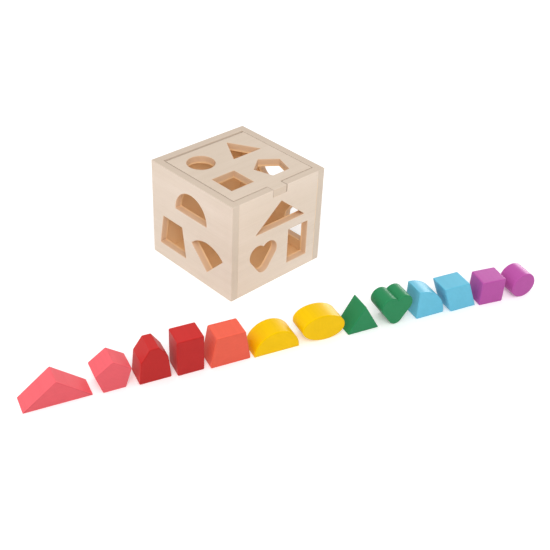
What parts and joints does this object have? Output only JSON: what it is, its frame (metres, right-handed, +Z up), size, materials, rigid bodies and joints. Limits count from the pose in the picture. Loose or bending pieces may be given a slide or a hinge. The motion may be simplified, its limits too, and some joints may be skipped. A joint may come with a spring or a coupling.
{
  "type": "shape sorter",
  "caption": "Wooden box with a hinged lid and shaped holes in its walls and lid, with loose painted blocks that each fit one hole.",
  "frame": {"origin": "centre of the box's underside, on the table", "axes": "+X to the right as the finger tab is faced, +Y from the tab's side towards the hinge, +Z up"},
  "size_m": [0.5581, 0.3558, 0.123],
  "materials": {
    "bare_wood": "smooth sanded beech, unfinished, satin",
    "plywood": "plain plywood, unfinished",
    "steel_wire": "drawn steel wire",
    "pink_paint": "wood with a thin semi-matte stain",
    "dark_red_paint": "wood with a thin semi-matte stain",
    "salmon_paint": "wood with a thin semi-matte stain",
    "yellow_paint": "wood with a thin semi-matte stain",
    "green_paint": "wood with a thin semi-matte stain",
    "light_blue_paint": "wood with a thin semi-matte stain",
    "purple_paint": "wood with a thin semi-matte stain"
  },
  "bodies": {
    "box": {"left_wall": "bare_wood", "right_wall": "bare_wood", "front_wall": "bare_wood", "back_wall": "bare_wood", "bottom_panel": "plywood", "hinge_pin_left": "steel_wire", "hinge_pin_right": "steel_wire"},
    "lid": {"lid": "bare_wood"},
    "roof_block": {"roof_block": "pink_paint"},
    "pentagon_block": {"pentagon_block": "pink_paint"},
    "barn_block": {"barn_block": "dark_red_paint"},
    "rectangle_block": {"rectangle_block": "dark_red_paint"},
    "trapezoid_block": {"trapezoid_block": "salmon_paint"},
    "half_circle_block": {"half_circle_block": "yellow_paint"},
    "oval_block": {"oval_block": "yellow_paint"},
    "triangle_block": {"triangle_block": "green_paint"},
    "heart_block": {"heart_block": "green_paint"},
    "quarter_circle_block": {"quarter_circle_block": "light_blue_paint"},
    "slanted_block": {"slanted_block": "light_blue_paint"},
    "square_block": {"square_block": "purple_paint"},
    "round_block": {"round_block": "purple_paint"}
  },
  "joints": [
    {"name": "lid_hinge", "type": "hinge", "parent": "box", "child": "lid", "pos_m": [0, 0.05475, 0.11825], "axis": [-1, 0, 0], "range_deg": [0, 97]},
    {"name": "roof_lift", "type": "slide", "parent": "box", "child": "roof_block", "axis": [0, 0, 1], "range_m": [0, 0.16]},
    {"name": "pentagon_lift", "type": "slide", "parent": "box", "child": "pentagon_block", "axis": [0, 0, 1], "range_m": [0, 0.16]},
    {"name": "barn_lift", "type": "slide", "parent": "box", "child": "barn_block", "axis": [0, 0, 1], "range_m": [0, 0.16]},
    {"name": "rectangle_lift", "type": "slide", "parent": "box", "child": "rectangle_block", "axis": [0, 0, 1], "range_m": [0, 0.16]},
    {"name": "trapezoid_lift", "type": "slide", "parent": "box", "child": "trapezoid_block", "axis": [0, 0, 1], "range_m": [0, 0.16]},
    {"name": "half_circle_lift", "type": "slide", "parent": "box", "child": "half_circle_block", "axis": [0, 0, 1], "range_m": [0, 0.16]},
    {"name": "oval_lift", "type": "slide", "parent": "box", "child": "oval_block", "axis": [0, 0, 1], "range_m": [0, 0.16]},
    {"name": "triangle_lift", "type": "slide", "parent": "box", "child": "triangle_block", "axis": [0, 0, 1], "range_m": [0, 0.16]},
    {"name": "heart_lift", "type": "slide", "parent": "box", "child": "heart_block", "axis": [0, 0, 1], "range_m": [0, 0.16]},
    {"name": "quarter_circle_pull", "type": "slide", "parent": "box", "child": "quarter_circle_block", "axis": [-0.309, -0.9511, 0], "range_m": [0, 0.16]},
    {"name": "slanted_lift", "type": "slide", "parent": "box", "child": "slanted_block", "axis": [0, 0, 1], "range_m": [0, 0.16]},
    {"name": "square_lift", "type": "slide", "parent": "box", "child": "square_block", "axis": [0, 0, 1], "range_m": [0, 0.16]},
    {"name": "round_lift", "type": "slide", "parent": "box", "child": "round_block", "axis": [0, 0, 1], "range_m": [0, 0.16]}
  ]
}
